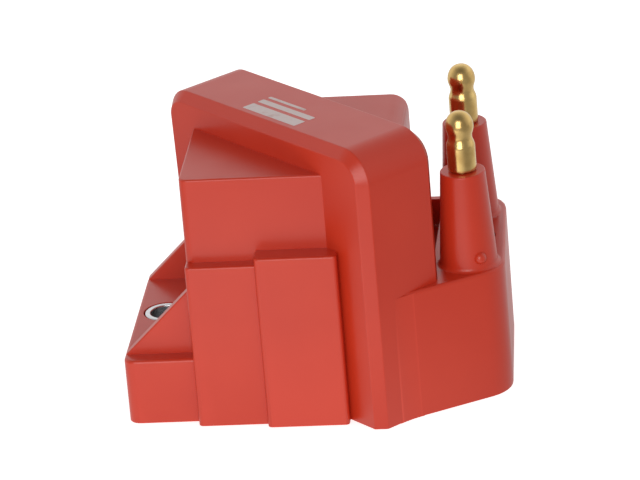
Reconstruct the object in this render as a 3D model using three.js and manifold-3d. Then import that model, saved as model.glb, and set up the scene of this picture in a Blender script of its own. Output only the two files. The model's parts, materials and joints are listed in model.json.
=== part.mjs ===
// Ignition coil with two high-voltage towers: a moulded housing round a closed-core transformer.
// Millimetres, +Z up. Every separate piece of the coil is one named mesh.
// Plan coordinates are counted from the vertical axis of the diagonal winding housing.
import * as THREE from "three";
import { mergeVertices } from "three/addons/utils/BufferGeometryUtils.js";
import Module from "manifold-3d";

const wasm = await Module();
wasm.setup();

// ---- Driving dimensions ----

const WALL = 2.4; // housing wall
const GAP = 0.3; // clearance between neighbouring pieces
const PAST = 1; // how far a cutter runs past the faces it cuts
const BELOW = 5; // how far cutters and drafted blanks run past the base plane
const REACH = 60; // cutters that span the whole coil reach this far from the axis
const TURN = -Math.PI / 4; // the winding housing's length runs from back left to front right
const ROUND = 36; // facets round a large turned piece
const FINE = 24; // facets round a small turned piece
const COARSE = 12; // facets round a rivet

// Diagonal winding housing
const HOUSING = {
  left: 38.2, right: 38.3, front: 11.5, back: 12.1, height: 72.6, chamfer: 2.4, leftCorner: 6.6,
  rightCorner: 8.5, draft: 2.5,
};

// Core blocks: right-angled prisms in front of and behind the winding housing
const BLOCK = {
  left: 27.1, front: 24.4, right: 25.85, back: 28.9, top: 64.5, buried: 8, corner: 2.2, shoulder: 4.5,
};

// Two pads stand proud of each core block; left and right are for the front pair
const PADS = [
  { left: -27.1, right: -9.6, proud: 3.65, top: 42.7 },
  { left: -9.6, right: 10.8, proud: 5.8, top: 45.3 },
];
const PAD_CORNER = 1.2;

// Left ear with its two gussets
const EAR = { left: -45, top: 17, front: -25, back: 30, corner: 3 };
const GUSSET = { thickness: 3.2, frontFace: -20.7, backFace: 26.3, height: 17.3 };

// Tower base: its front wall leaves the end face of the winding housing at a slant
const BASE = {
  top: 33.5, start: [24, -29.3], frontRight: [50.5, -13.5], rearRight: [48.4, 35.5], left: 14,
  radii: [0, 9.5, 9, 1.5, 0],
};

// Cored-out pocket in the top of the tower base, between the rear core block and the towers
const POCKET = { left: 28, right: 32.4, front: -4, back: 33, bottom: 26 };

// High-voltage towers and their brass terminals
const TOWER = {
  front: [41.35, -8.8], rear: [39.95, 23.8], footRadius: 7.15, topRadius: 5.6, top: 58.1, flare: 1,
};
const TERMINAL = {
  shank: 2.2, shankEnd: 24.4, body: 3.55, bodyTop: 64.8, neck: 2.95, neckHeight: 67,
  ball: 3.5, ballHeight: 69.6, tip: 1.2, top: 73.5,
};
const CUP = { outer: 3.2, inner: 2.5, bottom: 22.6, floor: 1.3, top: 30 };

// Steel mounting sleeves; the right one sits at the foot of a screw well between the towers
const SLEEVE = { outer: 5.5, inner: 4, height: 17, chamfer: 0.4 };
const LEFT_SLEEVE = { x: -37.6, y: 5.5, boss: 7.6 };
const RIGHT_SLEEVE = { x: 40.8, y: 7.5, boss: 8.8, well: 6.3 };

// Laminated core, in the winding housing's own frame: x along its length, y through its width
const CORE = { x: -1.3, width: 17, foot: 3, yokeTop: 13, armInner: 12, armOuter: 21, armTop: 46.5 };
const LEG = { side: 13, height: 40, spacer: 0.8 };
const RIVET = { radius: 1.5, head: 2.5, headHeight: 0.9 };
const CUSHION = { thickness: 2, foot: 8, top: 44 };

// Windings: turned about the leg's axis
const PRIMARY_BOBBIN = { bore: 9.5, hub: 10.5, rim: 15.2, half: 9, flange: 1.2 };
const PRIMARY_WINDING = { outer: 14.4 };
const BARRIER = { inner: 15.5, outer: 16.5, half: 8.6 };
const SECONDARY_BOBBIN = { bore: 16.8, hub: 17.8, rim: 25.6, half: 8.6, flange: 0.9, slots: 4 };
const SECONDARY_WINDING = { outer: 24.6, bridge: 1.6 };
const CROSSOVER = 3; // width of the notch that lets the wire cross a flange

// Primary connector at the open bottom
const CARRIER = { left: 18, right: 32, half: 6.4, bottom: 0.3, top: 14 };
const SOCKET = { positions: [21.4, 28.6], thickness: 3.4, width: 8.2, height: 11, bottom: 1 };
const BLADE = { thickness: 1.2, width: 6.6, depth: 8 };

// Leads: wire radii, the primary leads' distance from the winding's end, and the routes of the
// high-voltage leads from the winding to the towers, in the winding housing's frame
const LEAD = { primary: 0.5, highVoltage: 0.8, standOff: 1.2 };
const FRONT_ROUTE = [[20.6, -6, 23.6], [26, -3, 19.5], [32.5, 4, 19.5], [35.5, 14, 20.5]];
const REAR_ROUTE = [[14.4, 6, 17.6], [17, 12, 17.5], [15.6, 24, 18], [9, 35, 20]];

const SEAL = { bottom: 1, top: 2.6 }; // sealing resin across the open bottom

// ---- Materials ----

function finish(color, roughness, metalness) {
  return new THREE.MeshStandardMaterial({ color, roughness, metalness });
}

const MATERIALS = {
  redPlastic: finish(0xc23b2c, 0.45, 0),
  brass: finish(0xc9a24a, 0.22, 1),
  steel: finish(0xb9bcc0, 0.3, 1),
  coreSteel: finish(0x6e7175, 0.5, 0.9),
  copper: finish(0xb5673a, 0.35, 1),
  bobbinPlastic: finish(0x2b2b2d, 0.6, 0),
  barrierFilm: finish(0xd9c58a, 0.5, 0),
  rubber: finish(0x1c1c1d, 0.85, 0),
  spacerBoard: finish(0x8f7a55, 0.8, 0),
  leadInsulation: finish(0x3a1512, 0.55, 0),
  resin: finish(0x241b17, 0.35, 0),
};

// ---- Solids ----

function signedVolume(points, triangles) {
  const corner = (index) => new THREE.Vector3().fromArray(points, 3 * index);
  let volume = 0;
  for (let i = 0; i < triangles.length; i += 3) {
    const [a, b, c] = [corner(triangles[i]), corner(triangles[i + 1]), corner(triangles[i + 2])];
    volume += a.dot(b.cross(c));
  }
  return volume;
}

// A closed geometry as a manifold solid with its faces pointing out.
function solid(geometry) {
  geometry.deleteAttribute("normal");
  geometry.deleteAttribute("uv");
  const merged = mergeVertices(geometry, 1e-4);
  const points = merged.attributes.position.array;
  const index = merged.index.array;
  const triangles = [];
  for (let i = 0; i < index.length; i += 3) {
    const [a, b, c] = [index[i], index[i + 1], index[i + 2]];
    if (a !== b && b !== c && c !== a) {
      triangles.push(a, b, c);
    }
  }
  if (signedVolume(points, triangles) < 0) {
    triangles.reverse();
  }
  const triVerts = Uint32Array.from(triangles);
  return new wasm.Manifold(new wasm.Mesh({ numProp: 3, vertProperties: points, triVerts }));
}

function joined(solids) {
  return solids.reduce((whole, next) => whole.add(next));
}

function geometryOf(body) {
  const mesh = body.getMesh();
  const geometry = new THREE.BufferGeometry();
  geometry.setAttribute("position", new THREE.BufferAttribute(mesh.vertProperties, 3));
  geometry.setIndex(new THREE.BufferAttribute(mesh.triVerts, 1));
  geometry.computeVertexNormals();
  return geometry;
}

function box(low, high) {
  const size = high.map((value, i) => value - low[i]);
  const middle = high.map((value, i) => (value + low[i]) / 2);
  return solid(new THREE.BoxGeometry(...size).translate(...middle));
}

// A plan outline raised from one height to another.
function prism(shape, bottom, top) {
  const options = { depth: top - bottom, bevelEnabled: false, curveSegments: 6 };
  return solid(new THREE.ExtrudeGeometry(shape, options).translate(0, 0, bottom));
}

// An outline in the X-Z plane pushed along Y.
function slabAlongY(shape, front, back) {
  const options = { depth: back - front, bevelEnabled: false, curveSegments: 6 };
  return solid(new THREE.ExtrudeGeometry(shape, options).rotateX(Math.PI / 2).translate(0, back, 0));
}

// A profile of [radius, height] points turned about the vertical axis through (x, y).
function turned(profile, facets, x = 0, y = 0) {
  const points = profile.map(([radius, height]) => new THREE.Vector2(radius, height));
  return solid(new THREE.LatheGeometry(points, facets).rotateX(Math.PI / 2).translate(x, y, 0));
}

function cylinder(x, y, radius, bottom, top, facets = ROUND) {
  return turned([[0, bottom], [radius, bottom], [radius, top], [0, top]], facets, x, y);
}

// A profile of [radius, place] points turned about the leg of the core, in the housing's frame.
function wound(profile) {
  const points = profile.map(([radius, place]) => new THREE.Vector2(radius, place));
  return solid(new THREE.LatheGeometry(points, ROUND).translate(CORE.x, 0, LEG.height));
}

function ring(inner, outer, from, to) {
  return wound([[inner, from], [outer, from], [outer, to], [inner, to], [inner, from]]);
}

// A round rod along a smooth curve through the points.
function rod(points, radius) {
  const path = new THREE.CatmullRomCurve3(points.map((point) => new THREE.Vector3(...point)));
  const section = new THREE.Shape().absarc(0, 0, radius, 0, 2 * Math.PI, false);
  return new THREE.ExtrudeGeometry(section, { steps: 14, extrudePath: path, curveSegments: 4 });
}

function toHousingFrame([x, y, z]) {
  const turnedPoint = new THREE.Vector3(x, y, z).applyAxisAngle(new THREE.Vector3(0, 0, 1), -TURN);
  return turnedPoint.toArray();
}

// ---- Outlines ----

// Moves each side of an anticlockwise convex outline inwards by its own distance.
function insetOutline(points, distances) {
  const sides = points.map(([x, y], i) => {
    const [nextX, nextY] = points[(i + 1) % points.length];
    const length = Math.hypot(nextX - x, nextY - y);
    const direction = [(nextX - x) / length, (nextY - y) / length];
    const start = [x - direction[1] * distances[i], y + direction[0] * distances[i]];
    return { start, direction };
  });
  return sides.map((side, i) => {
    const before = sides[(i + sides.length - 1) % sides.length];
    const [dx, dy] = [side.start[0] - before.start[0], side.start[1] - before.start[1]];
    const cross = before.direction[0] * side.direction[1] - before.direction[1] * side.direction[0];
    const along = (dx * side.direction[1] - dy * side.direction[0]) / cross;
    return [
      before.start[0] + along * before.direction[0],
      before.start[1] + along * before.direction[1],
    ];
  });
}

// A convex outline whose corners are round, each to its own radius. A cubic with handles of
// 4/3 tan(sweep / 4) radii follows the arc closely.
function roundedShape(points, radii) {
  const shape = new THREE.Shape();
  points.forEach(([x, y], i) => {
    const corner = new THREE.Vector2(x, y);
    const back = new THREE.Vector2(...points.at(i - 1)).sub(corner).normalize();
    const onward = new THREE.Vector2(...points[(i + 1) % points.length]).sub(corner).normalize();
    const radius = Math.max(radii[i], 0);
    const half = Math.acos(back.dot(onward)) / 2;
    const reach = radius / Math.tan(half);
    const handle = reach - (4 / 3) * Math.tan(Math.PI / 4 - half / 2) * radius;
    const place = (direction, distance) => direction.clone().multiplyScalar(distance).add(corner);
    const start = place(back, reach);
    if (i === 0) {
      shape.moveTo(start.x, start.y);
    } else {
      shape.lineTo(start.x, start.y);
    }
    if (radius > 0) {
      const [first, second, end] = [place(back, handle), place(onward, handle), place(onward, reach)];
      shape.bezierCurveTo(first.x, first.y, second.x, second.y, end.x, end.y);
    }
  });
  return shape;
}

function rectangle(left, front, right, back) {
  return [[left, front], [right, front], [right, back], [left, back]];
}

// ---- Housing ----
// Each function takes the inset of its surfaces: 0 gives the outside, WALL gives the cavity,
// which is open at the bottom.

function footOf(inset) {
  return inset > 0 ? -BELOW / 2 : 0;
}

// Everything between two heights.
function layer(bottom, top) {
  return box([-REACH, -REACH, bottom], [REACH, REACH, top]);
}

function windingHousing(inset) {
  const left = inset - HOUSING.left;
  const right = HOUSING.right - inset;
  const top = HOUSING.height - inset;
  const footDraft = HOUSING.draft * (1 + BELOW / HOUSING.height);
  const outline = [[left + footDraft, -BELOW], [right, -BELOW], [right, top], [left, top]];
  const radii = [0, 0, HOUSING.rightCorner - inset, HOUSING.leftCorner - inset];
  const chamfer = HOUSING.chamfer - inset / 2;
  const depth = HOUSING.front + HOUSING.back - 2 * inset - 2 * chamfer;
  const geometry = new THREE.ExtrudeGeometry(roundedShape(outline, radii), {
    depth, bevelThickness: chamfer, bevelSize: chamfer, bevelOffset: -chamfer, bevelSegments: 1,
    curveSegments: 8,
  });
  const middle = (HOUSING.back - HOUSING.front) / 2;
  geometry.translate(0, 0, -depth / 2).rotateX(Math.PI / 2).translate(0, middle, 0).rotateZ(TURN);
  return solid(geometry).intersect(layer(footOf(inset), HOUSING.height + PAST));
}

function frontBlock(inset) {
  const { left, front, buried } = BLOCK;
  const outline = [[-left, -front], [front - buried, -front], [-left, left - buried]];
  const corners = insetOutline(outline, [inset, 0, inset]);
  return prism(roundedShape(corners, [BLOCK.corner - inset, 0, 0]), footOf(inset), BLOCK.top - inset);
}

function rearBlock(inset) {
  const { right, back, buried } = BLOCK;
  const outline = [[right, back], [buried - back, back], [right, buried - right]];
  const corners = insetOutline(outline, [inset, 0, inset]);
  const shape = roundedShape(corners, [BLOCK.corner - inset, 0, 0]);
  const block = prism(shape, footOf(inset), BLOCK.top - inset);
  const crossSection = rectangle(-right, -BELOW, right - inset, BLOCK.top - inset);
  const rounding = [0, 0, BLOCK.shoulder - inset, 0];
  return block.intersect(slabAlongY(roundedShape(crossSection, rounding), -right, back + PAST));
}

// The pads of the front block, and the same pads turned half round for the rear block.
function pads(inset) {
  const corner = PAD_CORNER - inset;
  const front = PADS.map(({ left, right, proud, top }) => {
    const outline = rectangle(left + inset, -BLOCK.front - proud + inset, right - inset, -BLOCK.front / 2);
    return prism(roundedShape(outline, [corner, corner, 0, 0]), footOf(inset), top - inset);
  });
  const shift = [BLOCK.right - BLOCK.left, BLOCK.back - BLOCK.front, 0];
  const rear = joined(front).rotate([0, 0, 180]).translate(shift);
  return [...front, rear];
}

function towerBase(inset) {
  const { top, start, frontRight, rearRight, left } = BASE;
  const outline = [start, frontRight, rearRight, [left, rearRight[1]], [left, 0]];
  const corners = insetOutline(outline, [inset, inset, inset, inset, 0]);
  const radii = BASE.radii.map((radius) => radius - inset);
  return prism(roundedShape(corners, radii), footOf(inset), top - inset);
}

// Everything that shares the resin-filled cavity.
function pottedBody(inset) {
  const blocks = [frontBlock(inset), rearBlock(inset), ...pads(inset), towerBase(inset)];
  return joined([windingHousing(inset), ...blocks]);
}

function ear(inset) {
  const right = -BLOCK.left + (inset > 0 ? 0 : WALL);
  const outline = rectangle(EAR.left + inset, EAR.front + inset, right, EAR.back - inset);
  const corner = EAR.corner - inset;
  return prism(roundedShape(outline, [corner, 0, 0, corner]), footOf(inset), EAR.top - inset);
}

// A gusset braces the ear against the housing: a 45 degree web, buried at its inner end.
function gusset(front) {
  const buried = GUSSET.height / 4;
  const inner = buried - BLOCK.left;
  const top = EAR.top + GUSSET.height + buried;
  const web = new THREE.Shape([
    new THREE.Vector2(EAR.left, EAR.top - WALL),
    new THREE.Vector2(inner, EAR.top - WALL),
    new THREE.Vector2(inner, top),
    new THREE.Vector2(EAR.left, EAR.top),
  ]);
  return slabAlongY(web, front, front + GUSSET.thickness);
}

// A tapered tower that flares out at its foot.
function tower([x, y]) {
  const { footRadius, topRadius, top, flare } = TOWER;
  const root = BASE.top - WALL / 2;
  const edge = 0.3;
  const profile = [
    [0, root], [footRadius + flare, root], [footRadius + flare, BASE.top],
    [footRadius + flare / 4, BASE.top + flare / 4], [footRadius, BASE.top + flare],
    [topRadius, top - edge], [topRadius - edge, top], [0, top],
  ];
  return turned(profile, ROUND, x, y);
}

// The pocket, grown on every side by a margin.
function pocket(margin) {
  const { left, right, front, back, bottom } = POCKET;
  return box(
    [left - margin, front - margin, bottom - margin],
    [right + margin, back + margin, BASE.top + PAST],
  );
}

function caseShell() {
  const outside = joined([
    pottedBody(0), ear(0), gusset(GUSSET.frontFace), gusset(GUSSET.backFace),
    tower(TOWER.front), tower(TOWER.rear),
  ]);
  const cavity = pottedBody(WALL).add(ear(WALL).subtract(windingHousing(0)));
  const terminalBore = TERMINAL.shank + GAP;
  const left = LEFT_SLEEVE;
  const right = RIGHT_SLEEVE;
  const bosses = [
    cylinder(left.x, left.y, left.boss, 0, EAR.top - WALL / 2),
    cylinder(right.x, right.y, right.boss, 0, BASE.top - WALL / 2),
    pocket(WALL),
  ];
  const hole = SLEEVE.outer + GAP;
  const cuts = [
    cylinder(left.x, left.y, hole, -PAST, EAR.top + PAST),
    cylinder(right.x, right.y, hole, -PAST, BASE.top + PAST),
    cylinder(right.x, right.y, right.well, SLEEVE.height, BASE.top + PAST),
    pocket(0),
    cylinder(...TOWER.front, terminalBore, BASE.top / 2, TOWER.top + PAST, FINE),
    cylinder(...TOWER.rear, terminalBore, BASE.top / 2, TOWER.top + PAST, FINE),
  ];
  const shell = outside.subtract(cavity).add(joined(bosses).intersect(outside));
  return shell.subtract(joined(cuts));
}

function potting() {
  const right = RIGHT_SLEEVE;
  const opening = box(
    [CARRIER.left - GAP, -CARRIER.half - GAP, -PAST],
    [CARRIER.right + GAP, CARRIER.half + GAP, CARRIER.top],
  );
  return pottedBody(WALL + GAP)
    .intersect(layer(SEAL.bottom, SEAL.top))
    .subtract(cylinder(right.x, right.y, right.boss + GAP, -PAST, BASE.top))
    .subtract(opening.rotate([0, 0, THREE.MathUtils.radToDeg(TURN)]));
}

// ---- Fittings ----

function mountingSleeve({ x, y }) {
  const { outer, inner, height, chamfer } = SLEEVE;
  const profile = [
    [inner, 0], [outer - chamfer, 0], [outer, chamfer], [outer, height - chamfer],
    [outer - chamfer, height], [inner, height], [inner, 0],
  ];
  return turned(profile, ROUND, x, y);
}

function highVoltageTerminal([x, y]) {
  const t = TERMINAL;
  const foot = TOWER.top + GAP;
  const edge = 0.4;
  const ballArc = [-35, -15, 10, 35, 55].map((angle) => {
    const radians = THREE.MathUtils.degToRad(angle);
    return [t.ball * Math.cos(radians), t.ballHeight + t.ball * Math.sin(radians)];
  });
  const profile = [
    [0, t.shankEnd], [t.shank, t.shankEnd], [t.shank, foot], [t.body, foot],
    [t.body, t.bodyTop - edge], [t.body - edge, t.bodyTop], [t.neck, t.neckHeight], ...ballArc,
    [t.tip, t.top], [0, t.top],
  ];
  return turned(profile, FINE, x, y);
}

function contactCup([x, y]) {
  const { outer, inner, bottom, floor, top } = CUP;
  const profile = [
    [0, bottom], [outer, bottom], [outer, top], [inner, top], [inner, bottom + floor],
    [0, bottom + floor],
  ];
  return turned(profile, FINE, x, y);
}

// ---- Core ----

function crossRod(radius, left, right, y, z) {
  const rodGeometry = new THREE.CylinderGeometry(radius, radius, right - left, COARSE);
  return solid(rodGeometry.rotateZ(Math.PI / 2).translate((left + right) / 2, y, z));
}

// Rivet places as [y, z]: low and high in each arm of the U.
function rivetPlaces() {
  const armMiddle = (CORE.armInner + CORE.armOuter) / 2;
  const low = (CORE.foot + CORE.yokeTop) / 2;
  const high = CORE.armTop - low;
  return [[-armMiddle, low], [-armMiddle, high], [armMiddle, low], [armMiddle, high]];
}

function uCore() {
  const { x, width, foot, yokeTop, armInner, armOuter, armTop } = CORE;
  const block = box([x - width / 2, -armOuter, foot], [x + width / 2, armOuter, armTop]);
  const window = box([x - width, -armInner, yokeTop], [x + width, armInner, armTop + PAST]);
  const hole = RIVET.radius + GAP;
  const holes = rivetPlaces().map(([y, z]) => crossRod(hole, x - width, x + width, y, z));
  return block.subtract(window).subtract(joined(holes));
}

function rivet([y, z]) {
  const { radius, head, headHeight } = RIVET;
  const left = CORE.x - CORE.width / 2 - GAP;
  const right = CORE.x + CORE.width / 2 + GAP;
  return joined([
    crossRod(radius, left - headHeight / 2, right + headHeight / 2, y, z),
    crossRod(head, left - headHeight, left, y, z),
    crossRod(head, right, right + headHeight, y, z),
  ]);
}

function legFrom(front, back) {
  const half = LEG.side / 2;
  return box([CORE.x - half, front, LEG.height - half], [CORE.x + half, back, LEG.height + half]);
}

function iCore() {
  return legFrom(GAP - CORE.armInner, CORE.armInner - 2 * GAP - LEG.spacer);
}

function gapSpacer() {
  return legFrom(CORE.armInner - GAP - LEG.spacer, CORE.armInner - GAP);
}

// side is -1 in front of the core and 1 behind it.
function cushion(side) {
  const half = CORE.width / 2;
  const near = CORE.armOuter + GAP;
  const far = near + CUSHION.thickness;
  const [front, back] = side < 0 ? [-far, -near] : [near, far];
  return box([CORE.x - half, front, CUSHION.foot], [CORE.x + half, back, CUSHION.top]);
}

// ---- Windings ----

// A notch through the flanges on the upper side of a bobbin, from its hub to beyond its rim.
function flangeNotch(hub, rim, from, to, width) {
  const half = width / 2;
  return box([CORE.x - half, from, LEG.height + hub], [CORE.x + half, to, LEG.height + rim]);
}

function primaryBobbin() {
  const { bore, hub, rim, half, flange } = PRIMARY_BOBBIN;
  const spool = joined([
    ring(bore, hub, -half, half),
    ring(bore, rim, -half, flange - half),
    ring(bore, rim, half - flange, half),
  ]);
  return spool.subtract(flangeNotch(hub, rim + PAST, -half - PAST, half + PAST, CROSSOVER));
}

function primaryWinding() {
  const end = PRIMARY_BOBBIN.half - PRIMARY_BOBBIN.flange - GAP;
  return ring(PRIMARY_BOBBIN.hub + GAP, PRIMARY_WINDING.outer, -end, end);
}

function insulatingSleeve() {
  return ring(BARRIER.inner, BARRIER.outer, -BARRIER.half, BARRIER.half);
}

function slotPitch() {
  const { half, flange, slots } = SECONDARY_BOBBIN;
  return (2 * half - flange) / slots;
}

function secondaryBobbin() {
  const { bore, hub, rim, half, flange, slots } = SECONDARY_BOBBIN;
  const flanges = Array.from({ length: slots + 1 }, (_, i) => {
    const start = -half + i * slotPitch();
    return ring(bore, rim, start, start + flange);
  });
  const spool = joined([ring(bore, hub, -half, half), ...flanges]);
  const inner = half - flange;
  return spool.subtract(flangeNotch(hub, rim + PAST, -inner, inner, CROSSOVER));
}

// One wound section in each slot, joined by the wire that crosses the flanges.
function secondaryWinding() {
  const { hub, half, flange, slots } = SECONDARY_BOBBIN;
  const { outer, bridge } = SECONDARY_WINDING;
  const first = -half + flange + GAP;
  const width = slotPitch() - flange - 2 * GAP;
  const sections = Array.from({ length: slots }, (_, i) => {
    const start = first + i * slotPitch();
    return ring(hub + GAP, outer, start, start + width);
  });
  const wire = flangeNotch(hub + 2, hub + 2 + bridge, first, -first, bridge);
  return joined([...sections, wire]);
}

// ---- Primary connector ----

function socketBox(place, margin, bottom, top) {
  const halfThickness = SOCKET.thickness / 2 + margin;
  const halfWidth = SOCKET.width / 2 + margin;
  return box([place - halfThickness, -halfWidth, bottom], [place + halfThickness, halfWidth, top]);
}

function terminalCarrier() {
  const { left, right, half, bottom, top } = CARRIER;
  const block = box([left, -half, bottom], [right, half, top]);
  const pockets = SOCKET.positions.map((place) => socketBox(place, GAP, -PAST, top + PAST));
  return block.subtract(joined(pockets));
}

function primaryTerminal(place) {
  const { thickness, width, depth } = BLADE;
  const body = socketBox(place, 0, SOCKET.bottom, SOCKET.bottom + SOCKET.height);
  const slot = box(
    [place - thickness / 2, -width / 2, 0],
    [place + thickness / 2, width / 2, SOCKET.bottom + depth],
  );
  return body.subtract(slot);
}

// side is -1 for the lead to the front of the winding and 1 for the rear. Each lead rises past
// one end of the winding and comes down on its outside.
function primaryLead(place, side) {
  const socketTop = SOCKET.bottom + SOCKET.height;
  const outside = PRIMARY_BOBBIN.half + LEAD.standOff;
  const windingTop = LEG.height + PRIMARY_BOBBIN.hub + 2;
  return rod([
    [place, side, socketTop + GAP + LEAD.primary],
    [place, side * 2, CARRIER.top + 1],
    [place - 3, side * 7.5, CARRIER.top + 3],
    [18, side * outside, LEG.height - 15],
    [14, side * outside, LEG.height],
    [6, side * outside, windingTop - 0.5],
    [CORE.x + 0.3, side * outside, windingTop],
    [CORE.x, side * (PRIMARY_BOBBIN.half - 0.9), windingTop],
  ], LEAD.primary);
}

// ---- High-voltage leads ----

// Each lead leaves the rim of the secondary winding and ends under its contact cup.
function highVoltageLead([x, y], route) {
  const end = [x, y, CUP.bottom - GAP - LEAD.highVoltage];
  return rod([...route, toHousingFrame(end)], LEAD.highVoltage);
}

// ---- Assembly ----

function piece(name, shape, material) {
  const geometry = shape instanceof THREE.BufferGeometry ? shape : geometryOf(shape);
  const mesh = new THREE.Mesh(geometry, material);
  mesh.name = name;
  return mesh;
}

const {
  redPlastic, brass, steel, coreSteel, copper, bobbinPlastic, barrierFilm, rubber, spacerBoard,
  leadInsulation, resin,
} = MATERIALS;

// The core, windings and connector line up with the winding housing, so they share its turn.
const transformer = new THREE.Group();
transformer.rotation.z = TURN;
transformer.add(
  piece("u_core", uCore(), coreSteel),
  piece("i_core", iCore(), coreSteel),
  piece("core_gap_spacer", gapSpacer(), spacerBoard),
  piece("front_core_cushion", cushion(-1), rubber),
  piece("rear_core_cushion", cushion(1), rubber),
  piece("primary_bobbin", primaryBobbin(), bobbinPlastic),
  piece("primary_winding", primaryWinding(), copper),
  piece("insulating_sleeve", insulatingSleeve(), barrierFilm),
  piece("secondary_bobbin", secondaryBobbin(), bobbinPlastic),
  piece("secondary_winding", secondaryWinding(), copper),
  piece("terminal_carrier", terminalCarrier(), bobbinPlastic),
  piece("front_high_voltage_lead", highVoltageLead(TOWER.front, FRONT_ROUTE), leadInsulation),
  piece("rear_high_voltage_lead", highVoltageLead(TOWER.rear, REAR_ROUTE), leadInsulation),
);
rivetPlaces().forEach((place, i) => {
  transformer.add(piece(`core_rivet_${i + 1}`, rivet(place), steel));
});
SOCKET.positions.forEach((place, i) => {
  const side = i === 0 ? -1 : 1;
  transformer.add(
    piece(`primary_terminal_${i + 1}`, primaryTerminal(place), brass),
    piece(`primary_lead_${i + 1}`, primaryLead(place, side), copper),
  );
});

const coil = new THREE.Group();
coil.add(
  piece("case", caseShell(), redPlastic),
  piece("left_mounting_sleeve", mountingSleeve(LEFT_SLEEVE), steel),
  piece("right_mounting_sleeve", mountingSleeve(RIGHT_SLEEVE), steel),
  piece("front_high_voltage_terminal", highVoltageTerminal(TOWER.front), brass),
  piece("rear_high_voltage_terminal", highVoltageTerminal(TOWER.rear), brass),
  piece("front_contact_cup", contactCup(TOWER.front), brass),
  piece("rear_contact_cup", contactCup(TOWER.rear), brass),
  piece("potting_seal", potting(), resin),
  transformer,
);

// The origin is the middle of the base, under the whole coil.
const bounds = new THREE.Box3().setFromObject(coil);
const middle = bounds.getCenter(new THREE.Vector3());
coil.position.set(-middle.x, -middle.y, 0);

export default coil;
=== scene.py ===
"""Looks of the ignition coil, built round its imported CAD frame.

The red moulding is rebuilt as a fine mesh with real edge radii; every other node keeps its CAD shape
or is rebuilt with smoother turned surfaces, and all of them get procedural materials.
Shapes are worked out in millimetres, from the vertical axis of the diagonal winding housing.
"""
import json
import math

import bmesh
import bpy
from mathutils import Matrix, Vector


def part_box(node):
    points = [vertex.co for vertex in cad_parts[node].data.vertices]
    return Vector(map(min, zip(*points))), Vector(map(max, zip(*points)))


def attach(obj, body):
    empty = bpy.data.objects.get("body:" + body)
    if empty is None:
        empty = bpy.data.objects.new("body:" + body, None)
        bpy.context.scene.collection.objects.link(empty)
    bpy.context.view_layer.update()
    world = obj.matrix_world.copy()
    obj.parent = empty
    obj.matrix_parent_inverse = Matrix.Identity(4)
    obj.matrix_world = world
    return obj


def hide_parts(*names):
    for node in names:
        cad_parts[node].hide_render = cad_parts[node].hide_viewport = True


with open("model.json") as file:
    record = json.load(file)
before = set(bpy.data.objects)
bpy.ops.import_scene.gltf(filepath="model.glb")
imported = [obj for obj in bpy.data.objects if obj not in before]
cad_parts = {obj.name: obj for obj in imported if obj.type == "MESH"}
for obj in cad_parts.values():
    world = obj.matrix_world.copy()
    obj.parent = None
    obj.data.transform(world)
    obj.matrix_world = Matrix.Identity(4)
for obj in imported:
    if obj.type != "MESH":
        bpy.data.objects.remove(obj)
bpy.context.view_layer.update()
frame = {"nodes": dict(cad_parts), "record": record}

MM = 0.001
BODY = "root"
WALL = 2.4
TURN = -math.pi / 4

# ---- Driving dimensions of the moulding, as in the CAD source ----

HOUSING = {
    "left": 38.2, "right": 38.3, "front": 11.5, "back": 12.1, "height": 72.6,
    "chamfer": 2.4, "left_corner": 6.6, "right_corner": 8.5, "draft": 2.5,
}
BLOCK = {
    "left": 27.1, "front": 24.4, "right": 25.85, "back": 28.9, "top": 64.5, "buried": 8.0,
    "corner": 2.2, "shoulder": 4.5,
}
PADS = [
    {"left": -27.1, "right": -9.6, "proud": 3.65, "top": 42.7, "radii": [1.2, 0, 0, 0]},
    {"left": -9.6, "right": 10.8, "proud": 5.8, "top": 45.3, "radii": [1.2, 1.0, 0, 0]},
]
PAD_BACK = -12.0  # hidden inside the block
EAR = {"left": -45.0, "top": 17.0, "front": -25.0, "back": 30.0, "corner": 3.0}
GUSSET = {"thickness": 3.2, "front_face": -20.7, "back_face": 26.3, "height": 17.3, "from_edge": 0.3}
BASE = {
    "top": 33.5, "start": (24.0, -29.3), "front_right": (50.5, -13.5), "rear_right": (48.4, 35.5),
    "left": 14.0, "radii": [0, 9.5, 9.0, 1.5, 0],
}
BLEND = {"reach": 3.5, "below_top": 0.4}
POCKET = {
    "left": 28.0, "right": 32.4, "front": -4.0, "back": 33.0, "bottom": 26.0,
    "corner": 1.0, "floor_edge": 0.6,
}
TOWERS = {"front": (41.35, -8.8), "rear": (39.95, 23.8)}
TOWER = {"foot": 7.15, "rim": 5.6, "top": 58.1, "fillet": 1.0, "rim_edge": 0.4}
NUB = {"radius": 1.6, "sunk": 0.55, "above_base": 3.3, "bearing": -61}
LEFT_SLEEVE = {"x": -37.6, "y": 5.5, "boss": 7.6}
RIGHT_SLEEVE = {"x": 40.8, "y": 7.5, "boss": 8.8, "well": 6.3}
SLEEVE = {"inner": 4.0, "outer": 5.5, "height": 17.0, "edge": 0.35}
SLEEVE_BORE = 5.8
TERMINAL_BORE = 2.5

# Edge radii of the moulding
SOFT = 0.55  # ordinary outside edge
BROAD = 0.8  # top edge of the ear and the tower base
FINE = 0.2  # edge of the open foot

# How far a solid or a cutter runs on where its end is hidden or cut away
OVERLAP = 3.0
CAVITY_RUN_OUT = 2.0
PAST = 1.0

# Small steps that keep two faces from sharing a plane
SLIVER = 0.004
FLUSH = 0.03


def housing_axis():
    """Where the winding housing's axis stands in the row frame, found from the left sleeve."""
    low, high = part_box("left_mounting_sleeve")
    middle = (low + high) / 2
    return Vector((middle.x - LEFT_SLEEVE["x"] * MM, middle.y - LEFT_SLEEVE["y"] * MM, 0))


AXIS = housing_axis()
TO_ROW = Matrix.Translation(AXIS) @ Matrix.Scale(MM, 4)


# ---- Outlines ----

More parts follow.
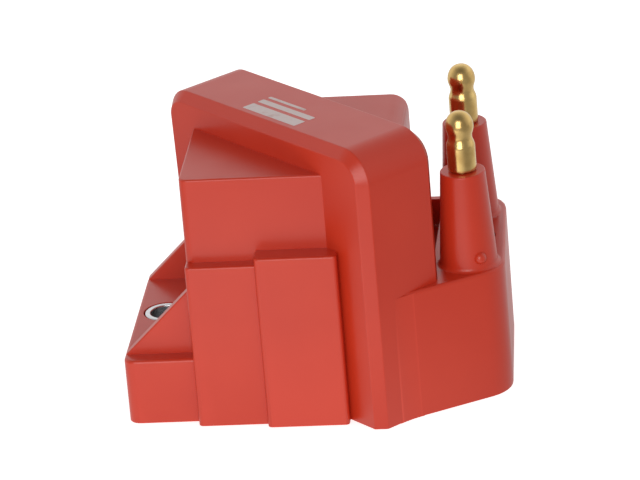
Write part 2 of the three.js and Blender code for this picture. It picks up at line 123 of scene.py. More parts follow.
LEAST_RADIUS = 0.02  # so that a sharp corner also gives its full number of points


def inset_outline(points, distances):
    """Moves each side of an anticlockwise convex outline inwards by its own distance."""
    sides = []
    for i, (x, y) in enumerate(points):
        next_x, next_y = points[(i + 1) % len(points)]
        direction = Vector((next_x - x, next_y - y)).normalized()
        normal = Vector((-direction.y, direction.x))
        sides.append((Vector((x, y)) + normal * distances[i], direction))
    corners = []
    for i, (start, direction) in enumerate(sides):
        before, before_direction = sides[i - 1]
        cross = before_direction.cross(direction)
        along = (start - before).cross(direction) / cross
        corners.append(before + before_direction * along)
    return corners


def rounded(points, radii, segments=6):
    """The points of an anticlockwise convex outline with an arc at each corner.

    Every corner gives segments + 1 points, whatever its radius, so that outlines of one family
    can be joined into a skin.
    """
    outline = []
    for i, corner in enumerate(points):
        back = (points[i - 1] - corner).normalized()
        onward = (points[(i + 1) % len(points)] - corner).normalized()
        half = back.angle(onward) / 2
        radius = max(radii[i], LEAST_RADIUS)
        centre = corner + (back + onward).normalized() * (radius / math.sin(half))
        start = corner + back * (radius / math.tan(half)) - centre
        sweep = math.pi - 2 * half
        for step in range(segments + 1):
            turn = Matrix.Rotation(sweep * step / segments, 2)
            outline.append(centre + turn @ start)
    return outline


def quarter_turn(segments):
    """Evenly spaced angles from 0 to 90 degrees."""
    return [math.pi / 2 * i / segments for i in range(segments + 1)]


def edge_profile(radius, segments=4):
    """(depth from the face, inset) pairs of a quarter-round edge, from the side to the face."""
    return [
        (radius * (1 - math.sin(angle)), radius * (1 - math.cos(angle))) for angle in quarter_turn(segments)
    ]


def chamfer_profile(leg, radius, segments=3):
    """The same for a 45 degree chamfer whose two edges are slightly rounded."""
    reach = radius * math.tan(math.pi / 8)
    profile = []
    for i in range(segments + 1):
        angle = math.pi / 4 * i / segments
        profile.append((leg + reach - radius * math.sin(angle), radius * (1 - math.cos(angle))))
    return profile + [(inset, depth) for depth, inset in reversed(profile)]


# ---- Meshes ----

FACETS, FINE_FACETS = 72, 96  # round bores, and round surfaces that show


def mesh_object(name, bm):
    bmesh.ops.recalc_face_normals(bm, faces=bm.faces)
    mesh = bpy.data.meshes.new(name)
    bm.to_mesh(mesh)
    bm.free()
    obj = bpy.data.objects.new(name, mesh)
    bpy.context.scene.collection.objects.link(obj)
    return obj


def skin(rings, closed=False):
    """A closed mesh over rings of points; both ends are capped unless the rings close on themselves."""
    bm = bmesh.new()
    loops = [[bm.verts.new(point) for point in ring] for ring in rings]
    pairs = list(zip(loops, loops[1:]))
    if closed:
        pairs.append((loops[-1], loops[0]))
    for low, high in pairs:
        for i in range(len(low)):
            j = (i + 1) % len(low)
            bm.faces.new((low[i], low[j], high[j], high[i]))
    if not closed:
        bm.faces.new(loops[0])
        bm.faces.new(loops[-1])
    return bm


def raised(family, bottom, top, profile, low_profile=()):
    """A solid over a family of outlines: family(inset) is drawn at each height of the edge profiles."""
    levels = [(bottom + depth, inset) for depth, inset in reversed(low_profile)] or [(bottom, 0)]
    levels += [(top - depth, inset) for depth, inset in profile]
    rings = [[(point.x, point.y, height) for point in family(inset)] for height, inset in levels]
    return mesh_object("solid", skin(rings))


def turned(profile, x, y, facets=FACETS):
    """A profile of (radius, height) pairs that starts and ends on the axis, turned about (x, y)."""
    bm = bmesh.new()
    loops = []
    for radius, height in profile:
        if radius == 0:
            loops.append([bm.verts.new((x, y, height))] * facets)
            continue
        angles = [2 * math.pi * i / facets for i in range(facets)]
        loops.append([
            bm.verts.new((x + radius * math.cos(a), y + radius * math.sin(a), height)) for a in angles
        ])
    for low, high in zip(loops, loops[1:]):
        for i in range(facets):
            j = (i + 1) % facets
            corners = list(dict.fromkeys((low[i], low[j], high[j], high[i])))
            bm.faces.new(corners)
    return mesh_object("solid", bm)


def cylinder(x, y, radius, bottom, top):
    return turned([(0, bottom), (radius, bottom), (radius, top), (0, top)], x, y)


def combine(target, others, operation):
    """Joins or cuts closed meshes, and uses the others up."""
    for other in others:
        modifier = target.modifiers.new("combine", "BOOLEAN")
        modifier.object = other
        modifier.operation = operation
        modifier.solver = "MANIFOLD"
        graph = bpy.context.evaluated_depsgraph_get()
        mesh = bpy.data.meshes.new_from_object(target.evaluated_get(graph))
        target.modifiers.clear()
        target.data = mesh
        bpy.data.objects.remove(other)
    return target


# ---- Parts of the moulding ----
# Each takes the inset of its surfaces: 0 for the outside, WALL for the cavity, which runs out
# at the bottom.

def bottom_of(inset):
    return -CAVITY_RUN_OUT if inset else 0.0


def foot_edge(inset):
    return () if inset else edge_profile(FINE, 3)


def winding_housing(inset):
    """The upright housing, drafted on its left end and drawn a little below its foot, then cut flat."""
    below = 2 * OVERLAP
    draft = HOUSING["draft"] * (1 + below / HOUSING["height"])
    left, right, top = -HOUSING["left"], HOUSING["right"], HOUSING["height"]
    corners = [(left + draft, -below), (right, -below), (right, top), (left, top)]

    def family(further):
        total = inset + further
        radii = [0, 0, HOUSING["right_corner"] - total, HOUSING["left_corner"] - total]
        return rounded(inset_outline(corners, [total] * 4), radii, segments=10)

    profile = chamfer_profile(HOUSING["chamfer"] - inset / 2, SOFT)
    obj = stand_up(raised(family, inset - HOUSING["front"], HOUSING["back"] - inset, profile, profile))
    obj.data.transform(Matrix.Rotation(TURN, 4, "Z"))
    return cut_flat(obj, bottom_of(inset), 0 if inset else FINE)


def stand_up(obj, shift=0):
    """Turns an outline drawn in the plan into one drawn in the X-Z plane, raised along Y from shift."""
    obj.data.transform(Matrix(((1, 0, 0, 0), (0, 0, 1, shift), (0, 1, 0, 0), (0, 0, 0, 1))))
    obj.data.flip_normals()
    return obj


def cut_flat(obj, height, edge_radius):
    """Cuts everything below a height away, closes the cut and rounds its edge."""
    bm = bmesh.new()
    bm.from_mesh(obj.data)
    everything = bm.verts[:] + bm.edges[:] + bm.faces[:]
    cut = bmesh.ops.bisect_plane(
        bm, geom=everything, plane_co=(0, 0, height), plane_no=(0, 0, 1), clear_inner=True
    )
    rim = [item for item in cut["geom_cut"] if isinstance(item, bmesh.types.BMEdge)]
    bmesh.ops.holes_fill(bm, edges=rim)
    if edge_radius:
        bmesh.ops.bevel(
            bm, geom=rim, offset=edge_radius, segments=3, profile=0.5, affect="EDGES", clamp_overlap=True
        )
    bmesh.ops.recalc_face_normals(bm, faces=bm.faces)
    bm.to_mesh(obj.data)
    bm.free()
    return obj


def plan_solid(corners, radii, top, inset, buried, edge=SOFT):
    """A solid over a plan outline; buried lists the sides that lie inside a neighbour and never move."""
    def family(further):
        total = inset + further
        distances = [0 if side in buried else total for side in range(len(corners))]
        return rounded(inset_outline(corners, distances), [radius - total for radius in radii])

    return raised(family, bottom_of(inset), top - inset, edge_profile(edge), foot_edge(inset))


def front_block(inset):
    """The core block in the front corner, a triangle whose long side is buried in the housing."""
    left, front, buried = BLOCK["left"], BLOCK["front"], BLOCK["buried"]
    corners = [(-left, -front), (front - buried, -front), (-left, left - buried)]
    return plan_solid(corners, [BLOCK["corner"], 0, 0], BLOCK["top"], inset, buried={1})


def rear_block(inset):
    """The same in the rear corner, with its right shoulder rounded."""
    right, back, buried = BLOCK["right"], BLOCK["back"], BLOCK["buried"]
    corners = [(right, back), (buried - back, back), (right, buried - right)]
    block = plan_solid(corners, [BLOCK["corner"], 0, 0], BLOCK["top"], inset, buried={1})
    side, top, beyond = right - inset, BLOCK["top"] - inset, 3 * OVERLAP

    def family(further):
        section = [(-right, -beyond), (side, -beyond), (side, top), (-right, top)]
        radii = [0, 0, BLOCK["shoulder"] - inset - further, 0]
        return rounded(inset_outline(section, [further] * 4), radii, segments=8)

    envelope = stand_up(raised(family, -right - beyond, back - inset, edge_profile(SOFT)))
    return combine(block, [envelope], "INTERSECT")


def pads(inset):
    """The stepped pads of the front block, and the same pads turned half round for the rear block."""
    turned_round = (
        Matrix.Translation((BLOCK["right"] - BLOCK["left"], BLOCK["back"] - BLOCK["front"], 0))
        @ Matrix.Rotation(math.pi, 4, "Z")
    )
    solids = []
    for pad in PADS:
        outer = pad is PADS[0]
        left = pad["left"] + (FLUSH if outer else 0)
        right = pad["right"] + (OVERLAP if outer else 0)
        front = -BLOCK["front"] - pad["proud"]
        corners = [(left, front), (right, front), (right, PAD_BACK), (left, PAD_BACK)]
        for place_of_pad in (Matrix.Identity(4), turned_round):
            solid = plan_solid(corners, pad["radii"], pad["top"], inset, buried={2})
            solid.data.transform(place_of_pad)
            solids.append(solid)
    return solids


def tower_base(inset):
    """The low body that carries the two towers."""
    start, front_right, rear_right = BASE["start"], BASE["front_right"], BASE["rear_right"]
    corners = [start, front_right, rear_right, (BASE["left"], rear_right[1]), (BASE["left"], 0)]
    return plan_solid(corners, BASE["radii"], BASE["top"], inset, buried={4}, edge=BROAD)


def wall_blend():
    """A shallow hollow fillet where the slanted wall of the tower base leaves the winding housing."""
    diagonal = Vector((1, 1)).normalized()
    across = Vector((1, -1)).normalized()
    start, front_right = Vector(BASE["start"]), Vector(BASE["front_right"])
    wall = (front_right - start).normalized()
    corner = start + wall * ((HOUSING["right"] - start.dot(across)) / wall.dot(across))
    first, last = corner - diagonal * BLEND["reach"], corner + wall * BLEND["reach"]
    outline = [first - across]
    steps = 12
    for i in range(steps + 1):
        t = i / steps
        outline.append(first * (1 - t) ** 2 + corner * 2 * t * (1 - t) + last * t ** 2)
    outline.append(last + Vector((-wall.y, wall.x)))
    sink = across * -SLIVER
    top = BASE["top"] - BLEND["below_top"]
    rings = [[(p.x + sink.x, p.y + sink.y, height) for p in outline] for height in (0, top)]
    return mesh_object("solid", skin(rings))


def ear(inset):
    """The left mounting ear."""
    right = -BLOCK["left"] if inset else -BLOCK["left"] + WALL
    left, front, back = EAR["left"], EAR["front"], EAR["back"]
    corners = [(left, front), (right, front), (right, back), (left, back)]
    radii = [EAR["corner"], 0, 0, EAR["corner"]]
    return plan_solid(corners, radii, EAR["top"], inset, buried={1}, edge=BROAD)


def gusset(front):
    """A 45 degree rib between the ear and the block, with its front face at the given depth."""
    buried = GUSSET["height"] / 4
    inner = buried - BLOCK["left"]
    low, high = EAR["top"] - WALL, EAR["top"] + GUSSET["height"] + buried
    left = EAR["left"] + GUSSET["from_edge"]
    corners = [(left, low), (inner, low), (inner, high), (left, EAR["top"])]

    def family(further):
        return rounded(inset_outline(corners, [further] * 4), [FINE / 2] * 4, segments=2)

    edge = edge_profile(2 * FINE, 3)
    return stand_up(raised(family, 0, GUSSET["thickness"], edge, edge), front)


def tower(x, y):
    """A tapered tower with a filleted foot and a rounded rim."""
    fillet, rim_edge = TOWER["fillet"], TOWER["rim_edge"]
    foot = BASE["top"]
    buried = foot - WALL / 2
    profile = [(0, buried), (TOWER["foot"] + fillet, buried)]
    for angle in quarter_turn(6):
        profile.append((
            TOWER["foot"] + fillet * (1 - math.sin(angle)),
            foot + fillet * (1 - math.cos(angle)),
        ))
    for angle in quarter_turn(5):
        profile.append((
            TOWER["rim"] - rim_edge * (1 - math.cos(angle)),
            TOWER["top"] - rim_edge * (1 - math.sin(angle)),
        ))
    profile.append((0, TOWER["top"]))
    return turned(profile, x, y, FINE_FACETS)


def locating_nub():
    """The small round nub at the foot of the front tower."""
    bm = bmesh.new()
    bmesh.ops.create_uvsphere(bm, u_segments=24, v_segments=14, radius=NUB["radius"])
    angle = math.radians(NUB["bearing"])
    reach = TOWER["foot"] - NUB["sunk"]
    x, y = TOWERS["front"]
    centre = (x + reach * math.cos(angle), y + reach * math.sin(angle), BASE["top"] + NUB["above_base"])
    bmesh.ops.translate(bm, verts=bm.verts, vec=centre)
    return mesh_object("solid", bm)


def pocket(margin):
    """The cored-out pocket in the top of the tower base, grown on every side by a margin."""
    left, right, front, back = (POCKET[side] for side in ("left", "right", "front", "back"))
    corners = [Vector(point) for point in ((left, front), (right, front), (right, back), (left, back))]

    def family(further):
        grown = inset_outline(corners, [further - margin] * 4)
        return rounded(grown, [POCKET["corner"] + margin - further] * 4)

    floor_edge = edge_profile(POCKET["floor_edge"], 3)
    return raised(family, POCKET["bottom"] - margin, BASE["top"] + PAST, [(0, 0)], floor_edge)


def potted_body(inset):
    """Everything that shares the resin-filled cavity."""
    others = [front_block(inset), rear_block(inset), *pads(inset), tower_base(inset)]
    return combine(winding_housing(inset), others, "UNION")


def moulding():
    """The whole case: the outside, less its cavity, the pocket and the bores."""
    gussets = [gusset(GUSSET["front_face"]), gusset(GUSSET["back_face"])]
    towers = [tower(*spot) for spot in TOWERS.values()]
    outside = combine(potted_body(0), [ear(0), *gussets, wall_blend(), *towers, locating_nub()], "UNION")
    ear_pocket = combine(ear(WALL), [winding_housing(0)], "DIFFERENCE")
    left, right, below = LEFT_SLEEVE, RIGHT_SLEEVE, -OVERLAP
    keep = [
        cylinder(left["x"], left["y"], left["boss"], below, EAR["top"]),
        cylinder(right["x"], right["y"], right["boss"], below, BASE["top"]),
        pocket(WALL),
    ]
    cavity = combine(combine(potted_body(WALL), [ear_pocket], "UNION"), keep, "DIFFERENCE")
    cuts = [
        cavity,
        cylinder(left["x"], left["y"], SLEEVE_BORE, below, EAR["top"] + PAST),
        cylinder(right["x"], right["y"], SLEEVE_BORE, below, BASE["top"] + PAST),
        cylinder(right["x"], right["y"], right["well"], SLEEVE["height"], BASE["top"] + PAST),
        pocket(0),
    ]
    for x, y in TOWERS.values():
        cuts.append(cylinder(x, y, TERMINAL_BORE, BASE["top"] / 2, TOWER["top"] + PAST))
    return combine(outside, cuts, "DIFFERENCE")


# ---- Finishing ----

LARGE_FACE = 12.0  # mm2
LEAST_FOLD = 3  # degrees, below which two large faces count as one surface
WELD = 0.002  # mm


def smooth_by_shape(obj, sharp_angle):
    """Smooth shading that keeps flat faces flat: folds between two large faces stay sharp."""
    bm = bmesh.new()
    bm.from_mesh(obj.data)
    bmesh.ops.remove_doubles(bm, verts=bm.verts, dist=WELD)
    bmesh.ops.dissolve_degenerate(bm, edges=bm.edges, dist=WELD)
    bmesh.ops.recalc_face_normals(bm, faces=bm.faces)
    for face in bm.faces:
        face.smooth = True
    for edge in bm.edges:
        if len(edge.link_faces) != 2:
            continue
        angle = math.degrees(edge.calc_face_angle(0))
        large = min(face.calc_area() for face in edge.link_faces) > LARGE_FACE
        edge.smooth = not (angle > sharp_angle or (large and angle > LEAST_FOLD))
    bm.to_mesh(obj.data)
    bm.free()
    modifier = obj.modifiers.new("flat_faces", "WEIGHTED_NORMAL")
    modifier.keep_sharp = True
    modifier.weight = 100
    return obj


def place(obj, name, node, material):
    """Puts a piece made in millimetres into the row frame, to stand for a CAD node."""
    obj.data.transform(TO_ROW)
    obj.name = name
    obj.data.name = name
    obj.data.materials.clear()
    obj.data.materials.append(material)
    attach(obj, BODY)
    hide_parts(node)
    return obj


# ---- Materials ----

def new_material(name):
    material = bpy.data.materials.new(name)
    material.use_nodes = True
    nodes = material.node_tree.nodes
    return material, nodes, material.node_tree.links, nodes["Principled BSDF"]


def object_coordinates(nodes, links, scale=(1, 1, 1), turn=0.0):
    """Object-space coordinates in metres for a procedural texture, scaled or turned about Z."""
    coordinates = nodes.new("ShaderNodeTexCoord")
    mapping = nodes.new("ShaderNodeMapping")
    mapping.inputs["Scale"].default_value = scale
    mapping.inputs["Rotation"].default_value = (0, 0, turn)
    links.new(coordinates.outputs["Object"], mapping.inputs["Vector"])
    return mapping.outputs["Vector"]


def noise(nodes, links, vector, scale, detail):
    """Cloudy noise; scale is its number of features in a metre."""
    texture = nodes.new("ShaderNodeTexNoise")
    texture.inputs["Scale"].default_value = scale
    texture.inputs["Detail"].default_value = detail
    links.new(vector, texture.inputs["Vector"])
    return texture.outputs["Fac"]


def bands(nodes, links, scale, distortion, direction):
    """Parallel bands that follow one another along an axis of the winding housing."""
    texture = nodes.new("ShaderNodeTexWave")
    texture.bands_direction = direction
    texture.inputs["Scale"].default_value = scale
    texture.inputs["Distortion"].default_value = distortion
    links.new(object_coordinates(nodes, links, turn=-TURN), texture.inputs["Vector"])
    return texture.outputs["Fac"]


def ramp(nodes, links, factor, stops):
    """A colour ramp; stops are (position, colour) pairs."""
    node = nodes.new("ShaderNodeValToRGB")
    elements = node.color_ramp.elements
    while len(elements) < len(stops):
        elements.new(0.5)
    for element, (position, colour) in zip(elements, stops):
        element.position = position
        element.color = (*colour, 1)
    links.new(factor, node.inputs["Fac"])
    return node.outputs["Color"]


def spread(nodes, links, factor, low, high, start=0.0, end=1.0):
    """Maps start..end to low..high, and holds those limits outside."""
    node = nodes.new("ShaderNodeMapRange")
    node.inputs["From Min"].default_value = start
    node.inputs["From Max"].default_value = end
    node.inputs["To Min"].default_value = low
    node.inputs["To Max"].default_value = high
    links.new(factor, node.inputs["Value"])
    return node.outputs["Result"]


def add_bump(nodes, links, shader, height, strength, distance):
    bump = nodes.new("ShaderNodeBump")
    bump.inputs["Strength"].default_value = strength
    bump.inputs["Distance"].default_value = distance
    links.new(height, bump.inputs["Height"])
    links.new(bump.outputs["Normal"], shader.inputs["Normal"])


def edge_wear(nodes, links, low, high):
    """0 on flat surfaces, 1 on sharp outside edges."""
    geometry = nodes.new("ShaderNodeNewGeometry")
    return spread(nodes, links, geometry.outputs["Pointiness"], 0.0, 1.0, low, high)


def worn_to(nodes, links, wear, colour, rubbed):
    """A colour output that turns into a plain colour where the wear is 1."""
    node = nodes.new("ShaderNodeMix")
    node.data_type = "RGBA"
    links.new(wear, node.inputs[0])
    links.new(colour, node.inputs[6])
    node.inputs[7].default_value = (*rubbed, 1)
    return node.outputs[2]


def moulded_plastic(name, colour, dark, roughness):
    """Moulded plastic: faint colour flow, uneven gloss, fine spark-eroded grain and rubbed edges."""
    material, nodes, links, shader = new_material(name)
    vector = object_coordinates(nodes, links)
    flow = noise(nodes, links, vector, scale=42, detail=4)
    grain = noise(nodes, links, vector, scale=5200, detail=2)
    smudge = noise(nodes, links, vector, scale=95, detail=5)
    mottled = ramp(nodes, links, flow, [(0.3, dark), (0.72, colour)])
    rubbed = tuple(min(1, channel * 1.25 + 0.02) for channel in colour)
    wear = edge_wear(nodes, links, 0.56, 0.72)
    links.new(worn_to(nodes, links, wear, mottled, rubbed), shader.inputs["Base Color"])
    links.new(spread(nodes, links, smudge, roughness - 0.05, roughness + 0.07), shader.inputs["Roughness"])
    shader.inputs["IOR"].default_value = 1.5
    add_bump(nodes, links, shader, grain, strength=0.25, distance=0.012 * MM)
    return material


def turned_metal(name, colour, dark, roughness):
    """Machined metal: fine turning marks across the axis, with dulled patches."""
    material, nodes, links, shader = new_material(name)
    marks_per_metre = 5200
    stretched = object_coordinates(nodes, links, (1, 1, marks_per_metre))
    marks = noise(nodes, links, stretched, scale=1, detail=2)
    patches = noise(nodes, links, object_coordinates(nodes, links), scale=260, detail=4)
    links.new(ramp(nodes, links, patches, [(0.3, dark), (0.68, colour)]), shader.inputs["Base Color"])
    shader.inputs["Metallic"].default_value = 1
    links.new(spread(nodes, links, patches, roughness + 0.08, roughness - 0.02), shader.inputs["Roughness"])
    add_bump(nodes, links, shader, marks, strength=0.12, distance=0.01 * MM)
    return material


def laminated_steel():
    """Stacked laminations: fine parallel sheets along the stack."""
    material, nodes, links, shader = new_material("laminated_steel")
    sheets = bands(nodes, links, scale=320, distortion=0.3, direction="X")
    seam, sheet = (0.05, 0.05, 0.055), (0.3, 0.3, 0.31)
    links.new(ramp(nodes, links, sheets, [(0.1, seam), (0.5, sheet)]), shader.inputs["Base Color"])
    shader.inputs["Metallic"].default_value = 0.9
    shader.inputs["Roughness"].default_value = 0.45
    add_bump(nodes, links, shader, sheets, strength=0.4, distance=0.05 * MM)
    return material


def wound_copper():
    """Enamelled wire laid turn by turn along the bobbin."""
    material, nodes, links, shader = new_material("wound_copper")
    turns = bands(nodes, links, scale=900, distortion=0.6, direction="Y")
    gap, wire = (0.16, 0.04, 0.015), (0.62, 0.24, 0.09)
    links.new(ramp(nodes, links, turns, [(0.1, gap), (0.6, wire)]), shader.inputs["Base Color"])
    shader.inputs["Metallic"].default_value = 0.85
    shader.inputs["Roughness"].default_value = 0.3
    shader.inputs["Coat Weight"].default_value = 0.4
    add_bump(nodes, links, shader, turns, strength=0.6, distance=0.08 * MM)
    return material


def potting_resin():
    """Cured resin: glossy, slightly rippled, with a few tiny bubbles."""
    material, nodes, links, shader = new_material("potting_resin")
    vector = object_coordinates(nodes, links)
    bubbles = nodes.new("ShaderNodeTexVoronoi")
    bubbles.inputs["Scale"].default_value = 420
    links.new(vector, bubbles.inputs["Vector"])
    pits = ramp(nodes, links, bubbles.outputs["Distance"], [(0.06, (0, 0, 0)), (0.12, (1, 1, 1))])
    cloud = noise(nodes, links, vector, scale=60, detail=3)
    dark, pale = (0.012, 0.009, 0.008), (0.03, 0.022, 0.018)
    links.new(ramp(nodes, links, cloud, [(0.3, dark), (0.7, pale)]), shader.inputs["Base Color"])
    links.new(spread(nodes, links, cloud, 0.16, 0.34), shader.inputs["Roughness"])
    add_bump(nodes, links, shader, pits, strength=0.3, distance=0.1 * MM)
    return material


def grained(name, colour, dark, roughness, scale):
    """A dull, lightly grained surface for rubber, board and film."""
    material, nodes, links, shader = new_material(name)
    grain = noise(nodes, links, object_coordinates(nodes, links), scale, detail=4)
    links.new(ramp(nodes, links, grain, [(0.3, dark), (0.7, colour)]), shader.inputs["Base Color"])
    links.new(spread(nodes, links, grain, roughness - 0.06, roughness + 0.06), shader.inputs["Roughness"])
    add_bump(nodes, links, shader, grain, strength=0.3, distance=0.04 * MM)
    return material


RED = moulded_plastic("red_moulding", (0.58, 0.038, 0.013), (0.54, 0.032, 0.011), 0.30)
BLACK = moulded_plastic("black_moulding", (0.035, 0.035, 0.038), (0.022, 0.022, 0.024), 0.45)
BRASS = turned_metal("polished_brass", (0.80, 0.56, 0.22), (0.62, 0.40, 0.14), 0.20)
STEEL = turned_metal("plated_steel", (0.72, 0.73, 0.74), (0.55, 0.56, 0.58), 0.24)
SLOT_MATERIALS = {
    "red_plastic": RED,
    "brass": BRASS,
    "steel": STEEL,
    "core_steel": laminated_steel(),
    "copper": wound_copper(),
    "bobbin_plastic": BLACK,
    "barrier_film": grained("barrier_film", (0.62, 0.47, 0.22), (0.5, 0.36, 0.15), 0.4, 300),
    "rubber": grained("core_rubber", (0.03, 0.03, 0.03), (0.018, 0.018, 0.018), 0.8, 900),
    "spacer_board": grained("spacer_board", (0.40, 0.30, 0.17), (0.28, 0.2, 0.11), 0.8, 700),
    "lead_insulation": grained("lead_insulation", (0.16, 0.03, 0.025), (0.1, 0.02, 0.018), 0.5, 500),
    "resin": potting_resin(),
}


def printed_ink():
    """Pad-printed white ink, rubbed thin in places so that the red shows through."""
    material, nodes, links, shader = new_material("printed_ink")
    rub = noise(nodes, links, object_coordinates(nodes, links), scale=420, detail=4)
    thin, full = (0.60, 0.42, 0.39), (0.68, 0.56, 0.54)
    links.new(ramp(nodes, links, rub, [(0.28, thin), (0.48, full)]), shader.inputs["Base Color"])
    shader.inputs["Roughness"].default_value = 0.55
    add_bump(nodes, links, shader, rub, strength=0.2, distance=0.01 * MM)
    return material


def paint_nodes():
    """Gives every CAD node the material that its record names."""
    for entry in frame["record"]["subparts"]:
        node = frame["nodes"][entry["node"]]
        node.data.materials.clear()
        node.data.materials.append(SLOT_MATERIALS[entry["material_slot"]])


# ---- Printed bars ----

# (start, end) along the housing's length and (near, far) across it; plain bars of ink, no lettering
PRINTED_BARS = [
    ((-11.0, 9.0), (-7.5, -3.9)),
    ((-11.0, 9.0), (-2.6, -0.6)),
    ((-11.0, 3.0), (0.7, 1.7)),
]
BAR_CORNER = 0.35
INK_SINK = 0.03  # the ink is keyed this far into the plastic
INK_FILM = 0.05  # and stands this far above it


def printed_bars():
    """Three plain bars of ink on top of the winding housing."""
    ink = printed_ink()
    top = HOUSING["height"]
    for i, ((start, end), (near, far)) in enumerate(PRINTED_BARS):
        corners = [Vector(point) for point in ((start, near), (end, near), (end, far), (start, far))]
        outline = rounded(corners, [BAR_CORNER] * 4)
        rings = [[(p.x, p.y, height) for p in outline] for height in (top - INK_SINK, top + INK_FILM)]
        bar = mesh_object(f"printed_bar_{i + 1}", skin(rings))
        bar.data.transform(TO_ROW @ Matrix.Rotation(TURN, 4, "Z"))
        bar.data.materials.append(ink)
        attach(bar, BODY)


# ---- Turned fittings ----

TERMINAL = {
    "shank": 2.2, "shank_end": 24.4, "body": 3.55, "body_top": 65.0, "neck": 2.95, "neck_height": 67.0,
    "ball": 3.5, "ball_height": 69.6, "top": 73.5, "above_tower": 0.3, "shoulder": 0.5, "chamfer": 0.15,
    "dome_power": 0.85,  # below 1 gives a fuller dome than a ball's
}


def eased(start, end, steps):
    """Points of an S-shaped step between two (radius, height) pairs, without the first."""
    points = []
    for i in range(1, steps + 1):
        blend = (1 - math.cos(math.pi * i / steps)) / 2
        points.append((start[0] + (end[0] - start[0]) * blend, start[1] + (end[1] - start[1]) * i / steps))
    return points


def brass_terminal(x, y):
    """A plug-type terminal: plain body, waist, and a rounded head for the lead's snap contact."""
    t = TERMINAL
    foot = TOWER["top"] + t["above_tower"]
    shoulder = (t["body"], t["body_top"] - t["shoulder"])
    waist = (t["neck"], t["neck_height"])
    head = (t["ball"], t["ball_height"])
    profile = [(0, t["shank_end"]), (t["shank"], t["shank_end"]), (t["shank"], foot)]
    profile += [(t["body"] - t["chamfer"], foot), (t["body"], foot + t["chamfer"])]
    profile += [shoulder, *eased(shoulder, waist, 10), *eased(waist, head, 10)]
    dome = t["top"] - t["ball_height"]
    for angle in quarter_turn(12)[1:-1]:
        swell = math.cos(angle) ** t["dome_power"]
        profile.append((t["ball"] * swell, t["ball_height"] + dome * math.sin(angle)))
    profile.append((0, t["top"]))
    return turned(profile, x, y, FINE_FACETS)


def steel_sleeve(x, y):
    """A rolled steel sleeve with rounded ends."""
    edge = SLEEVE["edge"]
    inner, outer = SLEEVE["inner"] + edge, SLEEVE["outer"] - edge
    low, high = edge, SLEEVE["height"] - edge
    profile = []
    for quarter, (radius, height) in enumerate(((outer, high), (inner, high), (inner, low), (outer, low))):
        for angle in quarter_turn(4):
            turn = angle + quarter * math.pi / 2
            profile.append((radius + edge * math.cos(turn), height + edge * math.sin(turn)))
    rings = []
    for i in range(FINE_FACETS):
        angle = 2 * math.pi * i / FINE_FACETS
        rings.append([(x + r * math.cos(angle), y + r * math.sin(angle), z) for r, z in profile])
    return mesh_object("solid", skin(rings, closed=True))


# ---- Light, floor and camera ----

# Brightness of what surrounds the coil, and where it changes. This section is in metres.
SURROUND = {"front": 0.36, "back": 0.98, "overhead": 0.36}
SURROUND_TURN, SURROUND_RISE = (-0.5, 0.35), (0.55, 1.0)  # along Y and Z of a unit direction
# Painted glow of the floor paper, seen by every ray but the camera's: dimmer in front, brighter behind, and
# a painted pool of light in front
PAPER_GLOW = {"front": 0.38, "back": 0.80, "pool": 1.25}  # as the coil sees it
PAPER_GLOW_TURN = (-0.08, 0.12)
PAPER_SHOWN = {"whiteness": 0.9, "glow": 0.70}  # as the camera sees it
POOL_CENTRE, POOL_RADIUS = (-0.05, -0.13), 0.17
FLOOR_REACH = 3.0
SOFTBOX = {"location": (-0.06, -1.22, 0.42), "target": (0, 0, 0.03), "size": (0.8, 1.0), "power": 8.8}
VIEW = {"azimuth": 6.77, "elevation": 22.51, "roll": 4.88, "distance": 1.197}
LENS = {"focal": 269.3, "sensor": 36}  # millimetres
VIEW_TARGET = (3.7, 0, 37.2)  # millimetres from the foot of the housing's axis


def area_light(name, location, target, size, power):
    light = bpy.data.lights.new(name, "AREA")
    light.shape = "RECTANGLE"
    light.size, light.size_y = size
    light.energy = power
    obj = bpy.data.objects.new(name, light)
    obj.location = location
    obj.rotation_euler = (Vector(target) - Vector(location)).to_track_quat("-Z", "Y").to_euler()
    bpy.context.scene.collection.objects.link(obj)


def combined(nodes, links, operation, first, second):
    """Adds or multiplies two values; the second may be a plain number."""
    node = nodes.new("ShaderNodeMath")
    node.operation = operation
    links.new(first, node.inputs[0])
    if isinstance(second, float):
        node.inputs[1].default_value = second
    else:
        links.new(second, node.inputs[1])
    return node.outputs[0]


def split_axes(nodes, links, output):
    """The X, Y and Z of a texture coordinate output."""
    coordinates = nodes.new("ShaderNodeTexCoord")
    split = nodes.new("ShaderNodeSeparateXYZ")
    links.new(coordinates.outputs[output], split.inputs[0])
    return split.outputs


def studio_world():
    """A white backdrop behind the coil, a dimmer room in front of it and overhead."""
    world = bpy.data.worlds.new("studio")
    bpy.context.scene.world = world
    world.use_nodes = True
    nodes, links = world.node_tree.nodes, world.node_tree.links
    _, along, up = split_axes(nodes, links, "Generated")
    round_about = spread(nodes, links, along, SURROUND["front"], SURROUND["back"], *SURROUND_TURN)
    rise = spread(nodes, links, up, 1.0, SURROUND["overhead"], *SURROUND_RISE)
    background = nodes["Background"]
    background.inputs["Color"].default_value = (1, 1, 1, 1)
    links.new(combined(nodes, links, "MULTIPLY", round_about, rise), background.inputs["Strength"])


def pool_of_light(nodes, links):
    """1 at the centre of a round painted pool of light on the floor, falling to 0 at its radius."""
    coordinates = nodes.new("ShaderNodeTexCoord")
    distance = nodes.new("ShaderNodeVectorMath")
    distance.operation = "DISTANCE"
    distance.inputs[1].default_value = (*POOL_CENTRE, 0)
    links.new(coordinates.outputs["Object"], distance.inputs[0])
    return spread(nodes, links, distance.outputs["Value"], 1.0, 0.0, 0.0, POOL_RADIUS)


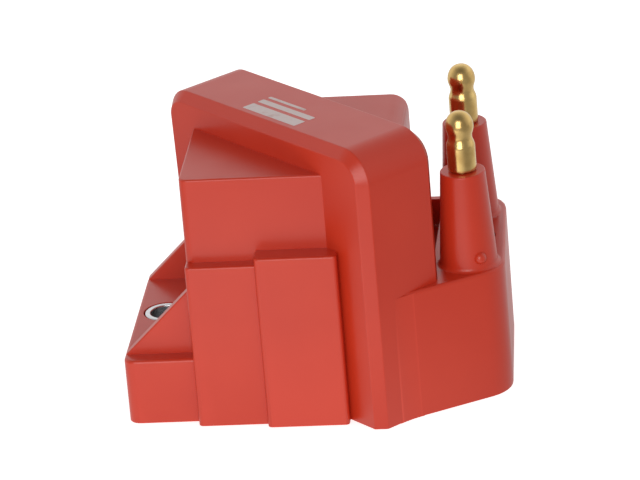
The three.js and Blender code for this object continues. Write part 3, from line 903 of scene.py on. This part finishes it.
def floor_material():
    """White paper. The coil sees a painted glow on it: a bright painted pool of light in front and a dimmer
    painted glow round that pool.
    """
    material, nodes, links, shader = new_material("pale_floor")
    shader.inputs["Base Color"].default_value = (*[PAPER_SHOWN["whiteness"]] * 3, 1)
    shader.inputs["Roughness"].default_value = 0.9
    shader.inputs["Specular IOR Level"].default_value = 0.1
    shader.inputs["Emission Color"].default_value = (1, 1, 1, 1)
    shader.inputs["Emission Strength"].default_value = PAPER_SHOWN["glow"]
    _, along, _ = split_axes(nodes, links, "Object")
    plain = spread(nodes, links, along, PAPER_GLOW["front"], PAPER_GLOW["back"], *PAPER_GLOW_TURN)
    lit = combined(nodes, links, "MULTIPLY", pool_of_light(nodes, links), PAPER_GLOW["pool"])
    # The painted glow: emission that every ray but the camera's sees on the paper
    paper = nodes.new("ShaderNodeEmission")
    links.new(combined(nodes, links, "ADD", plain, lit), paper.inputs["Strength"])
    path = nodes.new("ShaderNodeLightPath")
    mix = nodes.new("ShaderNodeMixShader")
    links.new(path.outputs["Is Camera Ray"], mix.inputs[0])
    links.new(paper.outputs[0], mix.inputs[1])
    links.new(shader.outputs[0], mix.inputs[2])
    links.new(mix.outputs[0], nodes["Material Output"].inputs["Surface"])
    return material


def floor():
    bm = bmesh.new()
    bmesh.ops.create_grid(bm, x_segments=1, y_segments=1, size=FLOOR_REACH)
    obj = mesh_object("floor", bm)
    obj.data.materials.append(floor_material())


def camera():
    """A long lens from the front, a little above and to the right, slightly rolled."""
    azimuth, elevation, roll = (math.radians(VIEW[angle]) for angle in ("azimuth", "elevation", "roll"))
    target = AXIS + Vector(VIEW_TARGET) * MM
    back = Vector((
        math.sin(azimuth) * math.cos(elevation),
        -math.cos(azimuth) * math.cos(elevation),
        math.sin(elevation),
    ))
    right = Vector((math.cos(azimuth), math.sin(azimuth), 0))
    up = back.cross(right)
    tilted_right = right * math.cos(roll) - up * math.sin(roll)
    tilted_up = right * math.sin(roll) + up * math.cos(roll)
    data = bpy.data.cameras.new("camera")
    data.sensor_width = LENS["sensor"]
    data.lens = LENS["focal"]
    data.clip_end = 20
    obj = bpy.data.objects.new("camera", data)
    turn = Matrix((tilted_right, tilted_up, back)).transposed().to_4x4()
    obj.matrix_world = Matrix.Translation(target + back * VIEW["distance"]) @ turn
    bpy.context.scene.collection.objects.link(obj)
    bpy.context.scene.camera = obj


def studio():
    studio_world()
    floor()
    area_light("tall_softbox", **SOFTBOX)
    camera()
    bpy.context.scene.view_settings.view_transform = "Standard"


# ---- Assembly ----

paint_nodes()
place(smooth_by_shape(moulding(), sharp_angle=35), "case_moulding", "case", RED)
for side, spot in TOWERS.items():
    node = f"{side}_high_voltage_terminal"
    terminal = smooth_by_shape(brass_terminal(*spot), sharp_angle=50)
    place(terminal, f"{side}_terminal", node, BRASS)
for side, spot in (("left", LEFT_SLEEVE), ("right", RIGHT_SLEEVE)):
    sleeve = smooth_by_shape(steel_sleeve(spot["x"], spot["y"]), sharp_angle=50)
    place(sleeve, f"{side}_sleeve", f"{side}_mounting_sleeve", STEEL)
printed_bars()
studio()
